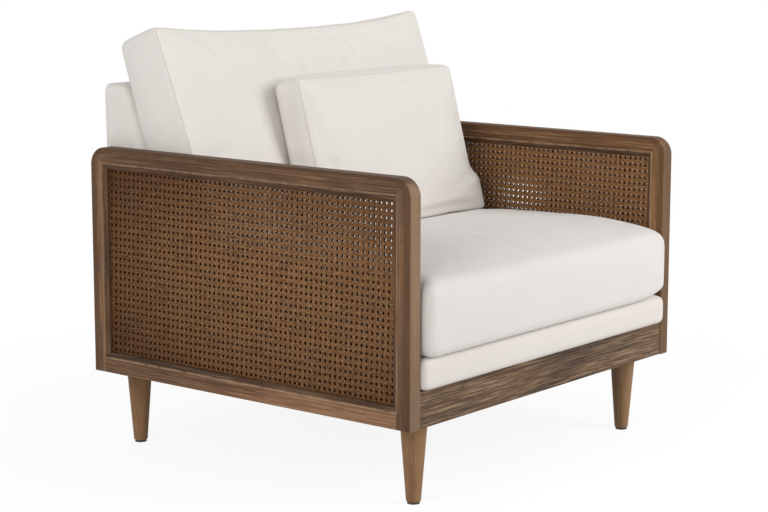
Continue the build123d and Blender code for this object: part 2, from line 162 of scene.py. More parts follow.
def newMaterial(name, given):
    material = bpy.data.materials.new(name)
    material.use_nodes = True
    shader = material.node_tree.nodes["Principled BSDF"]
    setInputs(shader, given)
    return material, material.node_tree, shader


def addToScene(name, data, place=(0, 0, 0), turn=(0, 0, 0)):
    made = bpy.data.objects.new(name, data)
    setAll(made, location=place, rotation_euler=turn)
    scene.collection.objects.link(made)
    return made


def meshObject(name, points, faces):
    mesh = bpy.data.meshes.new(name)
    mesh.from_pydata([tuple(p) for p in points], [], [tuple(f) for f in faces])
    mesh.update()
    return addToScene(name, mesh)


def dress(piece, *materials):
    piece.data.materials.clear()
    for material in materials:
        piece.data.materials.append(material)


def unitRows(vectors):
    return vectors / np.maximum(np.linalg.norm(vectors, axis=1), tiny)[:, None]


def smoothed(mesh):
    mesh.polygons.foreach_set("use_smooth", [True] * len(mesh.polygons))
    mesh.update()


# Shared effects

# each noise of the grain: how it is squeezed, its detail, roughness and distortion
grainNoise = {
    "bands": ((1.8, 55, 55), 4, 0.6, 0.7),
    "broad": ((2.6, 9, 9), 2, 0.5, 0.2),
    "fine": ((8, 300, 300), 3, 0.65, 0.1),
    "brushed": ((7, 250, 250), 3, 0.6, 0.3),
    "dashes": ((26, 620, 620), 1, 0.5, 0.0),
}


def makeGrainGroup():
    # wood grain that runs along X of the vector it is given, in metres
    tree, given, out = newGroup(
        "brushedGrain",
        {"Vector": None, "Dark": (0.1, 0.06, 0.03, 1), "Middle": (0.2, 0.12, 0.07, 1),
         "Pale": (0.35, 0.26, 0.19, 1), "Streaks": 0.6, "Pores": 0.5},
        {"Color": "Color", "Roughness": "Float", "Height": "Float"},
    )
    bands, broad, fine, brushed, dashes = [
        noise(stretched(given["Vector"], squeeze), 1.0, *rest) for squeeze, *rest in grainNoise.values()]
    tone = times(broad, 0.5, times(bands, 0.5))
    body = mixColour(ramp(tone, 0.36, 0.62), given["Dark"], given["Middle"])
    body = mixColour(times(ramp(fine, 0.48, 0.3), given["Pores"]), body, given["Dark"])
    body = mixColour(times(ramp(fine, 0.46, 0.74), 0.5), body, given["Pale"])
    washed = times(ramp(brushed, 0.52, 0.66), given["Streaks"])
    body = mixColour(times(washed, ramp(broad, 0.3, 0.6)), body, given["Pale"])
    pores = times(ramp(dashes, 0.6, 0.72), given["Pores"])
    setInputs(out, {"Color": mixColour(pores, body, given["Dark"]), "Roughness": times(fine, 0.22, 0.46),
                    "Height": minus(times(fine, 0.6, brushed), pores)})
    return tree


def makeWearGroup():
    # 1 along edges, where handling has rubbed the stain thin
    tree, given, out = newGroup("edgeWear", {"Radius": 0.003}, {"Mask": "Float"})
    rounded = addNode(tree, "Bevel", {"Radius": given["Radius"]}, samples=4).outputs[0]
    flat = geometry(tree)
    turned = minus(1.0, vectorMath("DOT_PRODUCT", rounded, flat["Normal"])["Value"])
    patches = noise(flat["Position"], 70.0, 3, 0.6)
    setInputs(out, {"Mask": times(ramp(turned, 0.02, 0.22), ramp(patches, 0.3, 0.65))})
    return tree


def makeRimGroup():
    # on an arm frame: a pale line along the opening, partly wear and partly painted highlight on the arris,
    # and painted shade as a dark rim along the rounded outer edge
    tree, given, out = newGroup(
        "armRim",
        {"Vector": None, "Middle": 0.0, "Half": 0.4, "Top": 0.6, "Corner": 0.036,
         "Open Half": 0.37, "Open Low": 0.19, "Open High": 0.58},
        {"Line": "Float", "RimShade": "Float"},
    )
    split = splitVector(given["Vector"])
    along, up = mathNode("ABSOLUTE", minus(split["Y"], given["Middle"])), split["Z"]
    inward = minus(along, given["Open Half"])
    for other in (minus(given["Open Low"], up), minus(up, given["Open High"])):
        inward = mathNode("MAXIMUM", inward, other)
    line = times(ramp(inward, -0.002, -0.0008), ramp(inward, 0.0034, 0.0012))
    patches = noise(given["Vector"], 45.0, 3, 0.6)
    # how far in from the rounded outline
    endward, upward = [mathNode("MAXIMUM", minus(place, minus(given[edge], given["Corner"])), 0.0)
                       for place, edge in ((along, "Half"), (up, "Top"))]
    reach = times(endward, endward, times(upward, upward))
    left = minus(given["Corner"], mathNode("SQRT", reach))
    wander = times(patches, 0.012, minus(left, 0.006))
    setInputs(out, {"Line": times(line, ramp(patches, 0.25, 0.6)), "RimShade": ramp(wander, 0.014, 0.001)})
    return tree


def makeWeaveGroup():
    # plain weave of uneven threads, and the soft mottling of a washed cloth
    tree, given, out = newGroup(
        "linenWeave",
        {"Vector": None, "Cloth": (0.8, 0.77, 0.7, 1), "Shade": (0.66, 0.6, 0.52, 1), "Threads": 900.0},
        {"Color": "Color", "Height": "Float"},
    )
    place = given["Vector"]
    wobble = addNode(tree, "TexNoise", {"Vector": place, "Scale": 160.0}).outputs["Color"]
    bent = vectorMath("MULTIPLY_ADD", wobble, (0.0009, 0.0009, 0.0009), place)["Vector"]
    x, y, z = [mathNode("SINE", times(times(axis, given["Threads"]), math.tau)) for axis in splitVector(bent)]
    cross = plus(plus(times(x, y), times(y, z)), times(x, z))
    depth = times(cross, 0.25, 0.5)
    slubs, slubsAcross = [noise(stretched(place, squeeze), 1.0, 2, 0.6)
                          for squeeze in ((30, 420, 420), (420, 30, 30))]
    threads = plus(times(slubs, 0.5), times(slubsAcross, 0.5))
    mottle = noise(place, 9.0, 3, 0.55)
    dim = times(ramp(threads, 0.44, 0.66), 0.11)
    dim = plus(dim, times(ramp(mottle, 0.35, 0.75), 0.08))
    dim = plus(dim, times(depth, 0.08))
    setInputs(out, {"Color": mixColour(dim, given["Cloth"], given["Shade"]),
                    "Height": times(threads, 0.9, depth)})
    return tree


grainGroup, wearGroup = makeGrainGroup(), makeWearGroup()
rimGroup, weaveGroup = makeRimGroup(), makeWeaveGroup()


# Wood

plainWood = {
    "paintedFrontColour": None, "paintedFrontAmount": 0,      # painted light: a paler colour for a face towards the front, and how much of it
    "line": 0, "rim": 0,                # pale line along the opening, partly wear and partly painted highlight; painted shade as a dark outer rim
    "wear": 0, "worn": 0.0035,          # rubbed edges, and how wide
    "bumpDepth": 0.0006, "gloss": 0.22,
    "cut": (0.37, 1.3, 2.1), "finer": (1, 1, 1),    # where the board was cut, and how fine its grain is
}
woodFinish = {
    "arm": dict(dark=(0.072, 0.034, 0.0145), middle=(0.230, 0.116, 0.055), pale=(0.35, 0.228, 0.137),
                paintedFrontColour=(0.31, 0.2, 0.12), paintedFrontAmount=0.5, streaks=0.45, pores=0.55, wear=0.3, bump=0.5,
                line=0.6, rim=0.75),
    "rail": dict(dark=(0.036, 0.018, 0.0085), middle=(0.140, 0.074, 0.034), pale=(0.42, 0.29, 0.185),
                 streaks=0.72, pores=0.85, wear=0.2, bump=0.6, cut=(1.62, 1.3, 2.1), finer=(1.3, 1.6, 1.6)),
    # the beads' darker colours are painted shade of the recess they sit in
    "bead": dict(dark=(0.04, 0.018, 0.0075), middle=(0.105, 0.049, 0.021), pale=(0.30, 0.19, 0.11),
                 paintedFrontColour=(0.2, 0.12, 0.065), paintedFrontAmount=0.2, streaks=0.3, pores=0.4, wear=0.2, bump=0.4,
                 line=0.75),
    "leg": dict(dark=(0.19, 0.1, 0.045), middle=(0.285, 0.155, 0.073), pale=(0.37, 0.215, 0.112),
                paintedFrontColour=(0.36, 0.2, 0.095), paintedFrontAmount=0.4, streaks=0.15, pores=0.25, wear=0.25, bump=0.2),
    "inner": dict(dark=(0.34, 0.23, 0.125), middle=(0.45, 0.32, 0.19), pale=(0.56, 0.43, 0.28),
                  streaks=0.2, pores=0.3, bump=0.3),
}
woodPieces = {      # by finish and the way the grain runs
    ("arm", "y"): "arm_top_rail arm_bottom_rail", ("arm", "z"): "arm_front_stile arm_rear_stile",
    ("rail", "x"): "front_rail rear_rail", ("leg", "z"): "leg_front leg_rear",
    ("inner", "x"): "cross_rail corner_blocks base_tenons back_top_rail back_low_rail",
    ("inner", "y"): "side_rail arm_tenons", ("inner", "z"): "back_post",
}
woodOf = {name: wood for wood, names in woodPieces.items() for name in names.split()}
# boards lighter or darker than the rest; the right arm's top rail and front stile are paler as painted light,
# making up for the shade on the right arm's inner side
boardToneAndLight = {
    "left_arm_bottom_rail": (1.3, 1.31, 1.36), "right_arm_top_rail": (1.34, 1.28, 1.14),
    "right_arm_front_stile": (1.43, 1.42, 1.25), "leg_front_right": (1.04, 1.1, 1.16),
    "left_back_post": (0.3, 0.25, 0.2), "right_back_post": (0.3, 0.25, 0.2),
}
# painted shade: one board's front face gets a darker colour in place of the painted front light: colour, how
# much
boardFrontShade = {"right_arm_front_stile": ((0.085, 0.047, 0.027), 0.8)}
beadUprights = {"beyond": 0.363, "low": 0.2, "high": 0.571}    # from the arm's middle, above the floor
frontFacing, sideFacing = (-0.5, -0.95), (0.9, 0.5)     # of the normal's Y
grainTurns = {"x": (0, 0, 0), "y": (0, 0, math.radians(90)), "z": (0, math.radians(90), 0)}
openLow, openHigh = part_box("left_outer_bead")
rimPlaces = {"Middle": armMiddle, "Half": armHigh.y - armMiddle, "Top": armHigh.z,
             "Open Half": openHigh.y - armMiddle, "Open Low": openLow.z, "Open High": openHigh.z}


def toned(colour, tone):
    return (*(c * t for c, t in zip(colour, tone)), 1)


@cache
def makeWood(finish, along, tone=(1, 1, 1), front=None):
    look = {**plainWood, **woodFinish[finish]}
    paintedFrontColour, paintedFrontAmount = front or (look["paintedFrontColour"], look["paintedFrontAmount"])
    material, tree, shader = newMaterial(f"{finish}Wood_{along}", {"Specular IOR Level": look["gloss"]})
    place = objectPlace(tree)
    turned = mapped(place, Rotation=grainTurns[along], Location=look["cut"], Scale=look["finer"])
    dark, middle, pale = [toned(look[shade], tone) for shade in ("dark", "middle", "pale")]
    grain = useGroup(tree, grainGroup, Vector=turned, Dark=dark, Middle=middle, Pale=pale,
                     Streaks=look["streaks"], Pores=look["pores"])
    colour = grain["Color"]
    normal = splitVector(geometry(tree)["True Normal"])
    # painted light: faces towards the front are mixed towards a paler colour, as if lit more strongly; for
    # one board a darker one instead, painted shade
    if paintedFrontAmount:
        fade = times(ramp(normal["Y"], *frontFacing), paintedFrontAmount)
        colour = mixColour(fade, colour, toned(paintedFrontColour, tone))
    # painted shade as a dark rim along the outer edge of the side faces, and a pale line along the opening,
    # partly wear and partly painted highlight
    if look["line"]:
        rim = useGroup(tree, rimGroup, Vector=place, **rimPlaces)
        aside = ramp(mathNode("ABSOLUTE", normal["Y"]), *sideFacing)
        colour = mixColour(times(rim["RimShade"], times(aside, look["rim"])), colour, dark)
        colour = mixColour(times(rim["Line"], look["line"]), colour, pale)
    if look["wear"]:
        worn = useGroup(tree, wearGroup, Radius=look["worn"])["Mask"]
        colour = mixColour(times(worn, look["wear"]), colour, pale)
    setInputs(shader, {"Base Color": colour, "Roughness": grain["Roughness"],
                       "Normal": bumped(grain["Height"], look["bump"], look["bumpDepth"])})
    return material


for name, node in nodes.items():
    bare = "_".join(word for word in name.split("_") if word not in ("left", "right"))
    if bare in woodOf:
        dress(node, makeWood(*woodOf[bare], boardToneAndLight.get(name, (1, 1, 1)), boardFrontShade.get(name)))
    elif bare.endswith("_bead"):
        dress(node, makeWood("bead", "y"), makeWood("bead", "z"))
        upright = [abs(p.center.y - armMiddle) > beadUprights["beyond"]
                   and beadUprights["low"] < p.center.z < beadUprights["high"] for p in node.data.polygons]
        node.data.polygons.foreach_set("material_index", [int(u) for u in upright])
print("wood dressed")


# Woven cane, real strands on both faces of each arm

caneSizes = {
    "pitch": 0.0128,            # from pair to pair
    "drawn": (0.955, 1.037),    # closed up along the arm, opened out upwards
    "skew": 0.028,              # the upright pairs lean
    "apart": 0.0018,            # from the middle of a pair to each of its strands
    "strand": 0.0029,           # width of a strand
    "diagonal": 0.0029,         # and of a diagonal one
    "rise": 0.00035,            # how far a strand goes over or under
    "crest": 0.00035,           # how far its middle stands out, and its edges lie back
    "uneven": 0.00012,          # how far strands lie from their place
    "wander": (0.0001, 31),     # and stray along their length: how far, how often
    "margin": 0.001,            # kept clear along the frame
    "shortest": 0.002,          # a diagonal below this is left out
    # the second panel of an arm differs from the first
    "closer": {"right_outer": (0.0017, 0.0032)},    # apart and strand
    "spread": {"right_outer": 1.0028},              # drawn out further
    "behind": {"left_inner": (0.0032, -0.0018), "right_outer": (0.00103, 0.0)},     # set over
    # and is pulled aside in one place, where light falls through: how far, where, how wide
    "pull": {"left_inner": (0.0032, (-0.37, 0.60), (0.055, 0.12)),
             "right_outer": (-0.0040, (-0.02, 0.462), (0.075, 0.045))},
}


def panelValues(low, high, key):
    size = dict(caneSizes)
    size["apart"], size["strand"] = size["closer"].get(key, (size["apart"], size["strand"]))
    size["drawn"] = np.array(size["drawn"]) * size["spread"].get(key, 1)
    size["setOver"], size["pull"] = size["behind"].get(key, (0, 0)), size["pull"].get(key)
    size["middle"] = (np.array(low) + np.array(high)) / 2
    size["reach"] = (np.array(high) - np.array(low)) / 2 / size["drawn"]
    return size


def straightStrands(size):
    # pairs both ways, each strand over and under the pairs that it meets
    pitch, apart, reach, setOver = size["pitch"], size["apart"], size["reach"], size["setOver"]
    counts = [int(r // pitch) + 2 for r in reach]
    amount, often = size["wander"]
    strands = []
    for axis, first in ((0, 1), (1, -1)):
        other = 1 - axis
        cells = np.arange(-counts[other], counts[other] + 1)
        stops = (cells[:, None] * pitch + np.array((-apart, apart, pitch / 2)) + setOver[other]).ravel()
        inside = np.abs(stops) < reach[other]
        heights = first * size["rise"] * np.tile((1, -1, 0), len(cells))[inside]
        stops = np.concatenate([[-reach[other]], stops[inside], [reach[other]]])
        for line in range(-counts[axis], counts[axis] + 1):
            for twin in (-1, 1):
                place = line * pitch + twin * apart + setOver[axis] + rng.normal(0, size["uneven"])
                if abs(place) > reach[axis] - size["margin"]:
                    continue
                strand = np.zeros((len(stops), 3))
                strand[:, axis] = place + amount * np.sin(stops * often + line)
                strand[:, other] = stops
                strand[1:-1, 2] = twin * heights
                strands.append((strand, size["strand"]))
    return strands


def diagonalStrands(size):
    # single strands: one slope over the upright pairs and under the level ones, the other the reverse
    pitch, reach, setOver = size["pitch"], size["reach"], size["setOver"]
    quarter = pitch / 4
    count = int(reach.sum() // pitch) + 2
    strands = []
    for slope in (-1, 1):
        for line in range(-count, count + 1):
            # up = slope * along + shift, cut to the panel
            shift = (line + 0.5) * pitch + setOver[1] - slope * setOver[0] + rng.normal(0, size["uneven"])
            ends = sorted([(-reach[1] - shift) * slope, (reach[1] - shift) * slope])
            start, stop = max(-reach[0], ends[0]), min(reach[0], ends[1])
            if stop - start < size["shortest"]:
                continue
            first, last = (start - setOver[0]) / quarter, (stop - setOver[0]) / quarter
            steps = np.arange(math.ceil(first), math.floor(last) + 1)
            along = np.concatenate([[start], steps * quarter + setOver[0], [stop]])
            kind = np.concatenate([[1], steps % 4, [1]])
            heights = 2 * size["rise"] * slope * np.select([kind == 0, kind == 2], [1, -1], 0)
            strands.append((np.stack([along, slope * along + shift, heights], 1), size["diagonal"]))
    return strands


def panelStrands(low, high, key):
    # lines of points (along, up, height) in the panel's own plane, with each strand's width
    size = panelValues(low, high, key)
    strands = straightStrands(size) + diagonalStrands(size)
    edge = size["reach"][0] * size["drawn"][0]
    for strand, _ in strands:
        strand[:, :2] *= size["drawn"]
        strand[:, 0] = np.clip(strand[:, 0] - size["skew"] * strand[:, 1], -edge, edge)
        strand[:, :2] += size["middle"]
        if size["pull"]:
            amount, place, reach = size["pull"]
            far = (strand[:, :2] - np.array(place)) / np.array(reach)
            strand[:, 0] += amount * np.exp(-(far ** 2).sum(1))
    return strands


def weavePanel(name, node, outward):
    low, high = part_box(node)
    plane = (low.x + high.x) / 2
    points, faces, tones = [], [], []
    count = 0
    for line, width in panelStrands((low.y, low.z), (high.y, high.z), name.removesuffix("_weave")):
        ahead = unitRows(np.gradient(line[:, :2], axis=0))
        side = np.stack([-ahead[:, 1], ahead[:, 0]], 1) * width / 2
        # three rows of points: edge, crest, edge
        for row in (-1, 0, 1):
            over = line[:, 2] + caneSizes["crest"] * (-1 if row else 1)
            points.append(np.column_stack([plane + outward * over, line[:, :2] + row * side]))
        total = len(line)
        base = np.arange(total - 1)
        for row in (0, 1):
            a, b = count + row * total + base, count + (row + 1) * total + base
            quad = np.stack([a, b, b + 1, a + 1], 1)
            faces.append(quad if outward < 0 else quad[:, ::-1])
        tones.append(np.full(3 * total, rng.normal(0, 1)))
        count += 3 * total
    points, faces = np.concatenate(points), np.concatenate(faces)
    panel = meshObject(name, points, faces)
    mesh = panel.data
    tone = mesh.attributes.new("strandTone", "FLOAT", "POINT")
    tone.data.foreach_set("value", np.concatenate(tones).astype(np.float32))
    spread = mesh.uv_layers.new(name="OFBake")
    flat = (points[faces.ravel(), 1:] - (low.y, low.z)) / (high.y - low.y)
    spread.data.foreach_set("uv", flat.astype(np.float32).ravel())
    smoothed(mesh)
    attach(panel, "chair_frame")
    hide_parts(node)
    return panel


# the darkest colour serves dark specks and the painted shade on the strands' back faces
caneColours = {
    "dark": (0.075, 0.030, 0.0085, 1), "middle": (0.26, 0.118, 0.042, 1), "pale": (0.60, 0.40, 0.235, 1),
    "gaps": (0.052, 0.0165, 0.003, 1), "darkened": (0.46, 0.38, 0.29, 1),
}
caneNoise = {"blotch": (14.0, 4, 0.65), "fibre": (150.0, 3, 0.6), "speck": (380.0, 2, 0.6)}
caneDarkening = {"ahead": 0.09, "along": 0.42, "up": 0.2}     # palest place, and how soon the cane darkens away from it
# how much painted shade darkens the strands' back faces, and the gloss
caneBackShade, caneGloss = 0.68, 0.12


def makeCane(name, lift, darkening):
    colours = caneColours
    material, tree, shader = newMaterial(name, {"Specular IOR Level": caneGloss})
    place = objectPlace(tree)
    split = splitVector(place)
    tone = addNode(tree, "Attribute", attribute_name="strandTone").outputs["Fac"]
    blotch, fibre, speck = [noise(place, *values) for values in caneNoise.values()]
    # uneven all over, each strand a little different; the lift makes a paler copy, painted light for a panel
    # in shade
    fade = times(ramp(blotch, 0.3, 0.7), 0.34, 0.2 + lift)
    fade = times(ramp(fibre, 0.3, 0.7), 0.42, fade)
    fade = times(tone, 0.09, fade, clamp=True)
    body = mixColour(fade, colours["dark"], colours["middle"])
    body = mixColour(times(ramp(speck, 0.5, 0.7), 0.6), body, colours["pale"])
    body = mixColour(times(ramp(speck, 0.48, 0.28), 0.55), body, colours["gaps"])
    # darker away from a place a little ahead of the arm's middle, towards the panel's ends and its top and
    # bottom
    low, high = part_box("left_outer_cane")
    along = times(minus(split["Y"], armMiddle - caneDarkening["ahead"]), 1 / caneDarkening["along"])
    up = times(minus(split["Z"], (low.z + high.z) / 2), 1 / caneDarkening["up"])
    old = times(along, along, times(up, up))
    old = times(blotch, 0.5, times(old, 0.62, -0.25), clamp=True)
    body = mixColour(times(old, darkening), body, colours["darkened"], how="MULTIPLY")
    # painted shade: the back faces of the strands are darkened, so the holes read dark
    body = mixColour(times(geometry(tree)["Backfacing"], caneBackShade), body, colours["gaps"])
    setInputs(shader, {"Base Color": body, "Roughness": times(speck, 0.3, 0.3),
                       "Normal": bumped(speck, 0.25, 0.0004)})
    return material


# the inner panels are a paler copy, painted light for the shade inside the arms, and darken less
caneFinish = {"outer": makeCane("wovenCane", 0.0, 1.0), "inner": makeCane("wovenCaneInner", 0.44, 0.25)}
for side, sign in (("left", -1), ("right", 1)):
    for face, out in (("outer", sign), ("inner", -sign)):
        panel = weavePanel(f"{side}_{face}_weave", f"{side}_{face}_cane", out)
        dress(panel, caneFinish[face])
print("cane woven")


# Upholstery

def share(value, start, over):
    # from 0 at the start to 1 after a length
    return np.clip((value - start) / over, 0, 1)


def bell(value, reach):
    return np.exp(-(value / reach) ** 2)


def boxGrid(counts):
    # surface of a box from -1 to 1 as one closed grid; panels 0 front, 1 rear, 2 to 5 boxing
    nx, ny, nz = counts
    index, points, quads, panel = {}, [], [], []
    forward, reverse = ((0, 0), (1, 0), (1, 1), (0, 1)), ((0, 0), (0, 1), (1, 1), (1, 0))
    # the two axes a pair of panels lies along; where each lies on the third, which way round it goes
    pairs = [(0, 1, (nz, forward), (0, reverse)), (0, 2, (0, forward), (ny, reverse)),
             (1, 2, (0, reverse), (nx, forward))]
    for pair, (a, b, *both) in enumerate(pairs):
        for s, t in itertools.product(range(counts[a]), range(counts[b])):
            for end, (level, corners) in enumerate(both):
                quad = []
                for right, up in corners:
                    cell = [level] * 3
                    cell[a], cell[b] = s + right, t + up
                    spot = index.setdefault(tuple(cell), len(points))
                    if spot == len(points):
                        points.append([2 * c / n - 1 for c, n in zip(cell, counts)])
                    quad.append(spot)
                quads.append(quad)
                panel.append(2 * pair + end)
    rings = []
    for k in (nz, 0):
        ring = [index[i, 0, k] for i in range(nx)] + [index[nx, j, k] for j in range(ny)]
        ring += [index[i, ny, k] for i in range(nx, 0, -1)] + [index[0, j, k] for j in range(ny, 0, -1)]
        rings.append(ring)
    return np.array(points), quads, panel, rings


def softBox(unit, half, corner, rolls):
    # a box with round corners in plan, whose front and rear edges roll over
    half = np.array(half)
    if isinstance(corner, tuple):  # left and right differ
        corner = np.where(unit[:, :1] < 0, *corner)
    p = unit * half
    over = np.maximum(np.abs(p[:, :2]) - (half[:2] - corner), 0)
    length = np.maximum(np.linalg.norm(over, axis=1), tiny)
    kept = np.minimum(np.abs(p[:, :2]), half[:2] - corner)
    p[:, :2] = np.sign(p[:, :2]) * (kept + over * (over.max(1) / length)[:, None])
    roll = np.where(p[:, 2] > 0, rolls[0], rolls[1])
    depth = np.abs(p[:, 2])
    turn = np.clip((depth - half[2] + roll) / roll, 0, 1) * math.pi / 2
    depth = np.where(turn > 0, half[2] - roll + roll * np.sin(turn), depth)
    p[:, 2] = np.sign(unit[:, 2]) * depth
    p[:, :2] *= 1 - (roll * (1 - np.cos(turn)))[:, None] / half[:2]
    return p


crownPower, bellyPower, drawPower = 2.2, 6, 2    # how flat each is before it falls off to the corners


def swell(points, unit, values):
    # crowns on the two large panels, bellies round the boxing, edges drawn in between the corners
    u, v, w = unit.T
    full = ((1 - np.abs(u) ** crownPower) * (1 - np.abs(v) ** crownPower)) ** values["fullness"]
    points[:, 2] += np.where(w > 0, values["front"], -values["rear"]) * full
    belly = values["bulge"] * (1 - w ** 2)
    points[:, 0] += np.sign(u) * belly * (np.abs(u) == 1) * (1 - v ** bellyPower)
    points[:, 1] += np.sign(v) * belly * (np.abs(v) == 1) * (1 - u ** bellyPower)
    top, bottom, ends = values["draw"]
    points[:, 0] -= u * ends * (1 - v ** drawPower)
    points[:, 1] -= np.where(v > 0, v * top, v * bottom) * (1 - u ** drawPower)
    return points


def eased(step, quads, rounds):
    # the broad part of a movement, found by averaging over neighbours
    quads = np.array(quads)
    pairs = np.concatenate([quads[:, [a, (a + 1) % 4]] for a in range(4)])
    pairs = np.concatenate([pairs, pairs[:, ::-1]])
    count = np.bincount(pairs[:, 0], minlength=len(step)) + 1
    for _ in range(rounds):
        around = [np.bincount(pairs[:, 0], step[pairs[:, 1], axis], len(step)) for axis in range(3)]
        step = (step + np.stack(around, 1)) / count[:, None]
    return step


# of the Cloth trials; then rounds of easing, how much of the folds the boxing keeps, how near a seam they end
clothValues = {"frames": 20, "quality": 6, "mass": 0.3, "shear": 3, "rounds": 30, "boxing": 0.35, "seam": 12}


def wrinkles(name, unit, quads, values):
    # a flat cover is stuffed by Cloth with inner pressure; its folds are kept, its broad swelling is not
    points = softBox(unit, values["half"], values["corner"], values["rolls"])
    trial = meshObject(name + "_trial", points, quads)
    cloth = trial.modifiers.new("Cloth", "CLOTH")
    stiff = values["stiff"]
    setAll(cloth.settings, quality=clothValues["quality"], mass=clothValues["mass"],
           tension_stiffness=stiff, compression_stiffness=stiff,
           shear_stiffness=stiff / clothValues["shear"], bending_stiffness=values["bend"],
           use_pressure=True, uniform_pressure_force=values["pressure"])
    cloth.settings.effector_weights.gravity = 0
    cloth.collision_settings.use_collision = False
    cloth.point_cache.frame_start, cloth.point_cache.frame_end = 1, clothValues["frames"]
    for step in range(1, clothValues["frames"] + 1):
        scene.frame_set(step)
    shown = trial.evaluated_get(bpy.context.evaluated_depsgraph_get())
    moved = np.zeros(len(points) * 3, np.float32)
    shown.data.vertices.foreach_get("co", moved)
    bpy.data.objects.remove(trial)
    scene.frame_set(1)
    step = moved.reshape(-1, 3) - points
    folds = step - eased(step, quads, clothValues["rounds"])
    size = np.linalg.norm(folds, axis=1)
    print(name, "folds up to", round(1000 * size.max(), 1), "mm, mean", round(1000 * size.mean(), 2))
    held = np.minimum(size, values["cap"]) / np.maximum(size, tiny)
    # nothing moves at the seams, and the boxing stays tighter than the large panels
    toSeam = 1 - np.abs(unit[:, :2]).max(1) ** clothValues["seam"]
    held = held * np.where(np.abs(unit[:, 2]) == 1, toSeam, clothValues["boxing"])
    return values["folds"] * folds * held[:, None]


creaseFade = (0.92, 0.04)           # how much of a crease's length fades, and what is left at its ends
creaseRidge = (1.5, 2, 0.7)         # how far aside in widths, how far it goes on, its height to the valley's


def crease(points, unit, place, start, end, width, depth):
    # a soft fold across the front panel, from one place to another in panel coordinates
    a, b = np.array(start), np.array(end)
    along = b - a
    part = np.clip(((place - a) @ along) / (along @ along), 0, 1)
    away = place - a - part[:, None] * along
    side = away @ np.array([-along[1], along[0]]) / np.linalg.norm(along)
    reach = np.linalg.norm(away, axis=1)
    fade = np.sin(math.pi * np.clip(part * creaseFade[0] + creaseFade[1], 0, 1)) * (unit[:, 2] == 1)
    aside, farther, height = creaseRidge
    ridge = bell(side - aside * width, width) * bell(np.maximum(reach - farther * width, 0), width)
    points[:, 2] += depth * fade * (height * ridge - bell(reach, width))


def finerMesh(piece):
    piece.modifiers.new("Finer", "SUBSURF").levels = 1
    made = bpy.data.meshes.new_from_object(piece.evaluated_get(bpy.context.evaluated_depsgraph_get()))
    old = piece.data
    piece.modifiers.clear()
    piece.data = made
    bpy.data.meshes.remove(old)
    smoothed(made)


# each panel's patch of the map: the two axes it lies along, its left and low edge, its height
panelPatches = [(0, 1, 0.0, 0.5, 0.49), (0, 1, 0.5, 0.5, 0.49), (0, 2, 0.0, 0.34, 0.15),
                (0, 2, 0.5, 0.34, 0.15), (1, 2, 0.0, 0.0, 0.15), (1, 2, 0.5, 0.0, 0.15)]
patchMargin, patchWidth = 0.005, 0.485


def panelMap(mesh, quads, panel, unit):
    # one flat patch of cloth for each panel
    spread = mesh.uv_layers.new(name="OFBake")
    places = []
    for quad, kind in zip(quads, panel):
        a, b, left, low, tall = panelPatches[kind]
        for vertex in quad:
            u, v = (unit[vertex][a] + 1) / 2, (unit[vertex][b] + 1) / 2
            places.append((left + patchMargin + patchWidth * u,
                           low + patchMargin + (tall - 2 * patchMargin) * v))
    spread.data.foreach_set("uv", np.array(places, np.float32).ravel())


tubeSides, notAlong = 6, (0.0, 0.3, 0.95)       # a direction that no seam runs in


def tubeAlong(name, line, radius):
    # closed tube round a closed line of points
    line = np.array(line)
    ahead = unitRows(np.roll(line, -1, 0) - np.roll(line, 1, 0))
    side = unitRows(np.cross(ahead, np.array(notAlong)))
    top = np.cross(side, ahead)
    points, faces, count = [], [], len(line)
    for s in range(tubeSides):
        angle = math.tau * s / tubeSides
        points.append(line + radius * (math.cos(angle) * side + math.sin(angle) * top))
        for i in range(count):
            j, t = (i + 1) % count, (s + 1) % tubeSides
            faces.append((s * count + i, s * count + j, t * count + j, t * count + i))
    made = meshObject(name, np.concatenate(points), faces)
    smoothed(made.data)
    return made


linenLook = {"Roughness": 0.88, "Sheen Weight": 0.25, "Sheen Roughness": 0.5, "Specular IOR Level": 0.25}
linenThreads, linenBump = 850.0, (0.35, 0.0004)     # threads to a metre; bump strength and depth


def makeLinen(name, cloth, shade, tilt):
    material, tree, shader = newMaterial(name, linenLook)
    turned = mapped(objectPlace(tree), Rotation=(tilt, 0, 0))
    weave = useGroup(tree, weaveGroup, Vector=turned, Cloth=(*cloth, 1), Shade=(*shade, 1),
                     Threads=linenThreads)
    setInputs(shader, {"Base Color": weave["Color"], "Normal": bumped(weave["Height"], *linenBump)})
    return material


restLevel = 0.4372      # top of the seat where the loose cushions rest
backLean, pillowLean = math.radians(20.8), math.radians(15.2)
threadRadius = 0.0006

# half: half its size; grid: cells; corner: round in plan; rolls: of the front and rear edges
# front, rear: crowns; bulge: of the boxing; draw: edges drawn in (top, bottom, ends)
# pressure, stiff, bend: for Cloth; cap, folds: how far folds go, how much is kept; fill: how full it is
plainCushion = {"front": 0.0, "rear": 0.0, "fullness": 0.5, "draw": (0.0, 0.0, 0.0)}
seatValues = {
    **plainCushion,
    "half": (0.3984, 0.2976, 0.0712), "aside": -0.003, "grid": (82, 60, 14),
    "corner": (0.012, 0.026), "rolls": (0.027, 0.010),
    "front": 0.010, "bulge": 0.004,
    "pressure": 4.0, "stiff": 18.0, "bend": 4.0, "cap": 0.004, "folds": 0.5, "fill": 0.8,
    "cornerLift": (0.014, 0.055, 0.07),     # how far, how wide, up to what height it fades
    "upper": (0.06, 0.07),                  # the upper part: where it starts, how soon it is full
    "fullest": (0.0128, 0.03, 0.145),       # how much, where it starts behind the front, how soon
    "falls": (0.6, -0.22, 0.26),            # towards the rear: how much, where, how soon
    "level": (-0.06, 0.09, 0.02, 0.0002),   # pressed level: where, how soon, from how far up, clearance
    "dent": (0.014, 0.01, 0.04),            # under the pillow: fade beside, start before, fade before
}
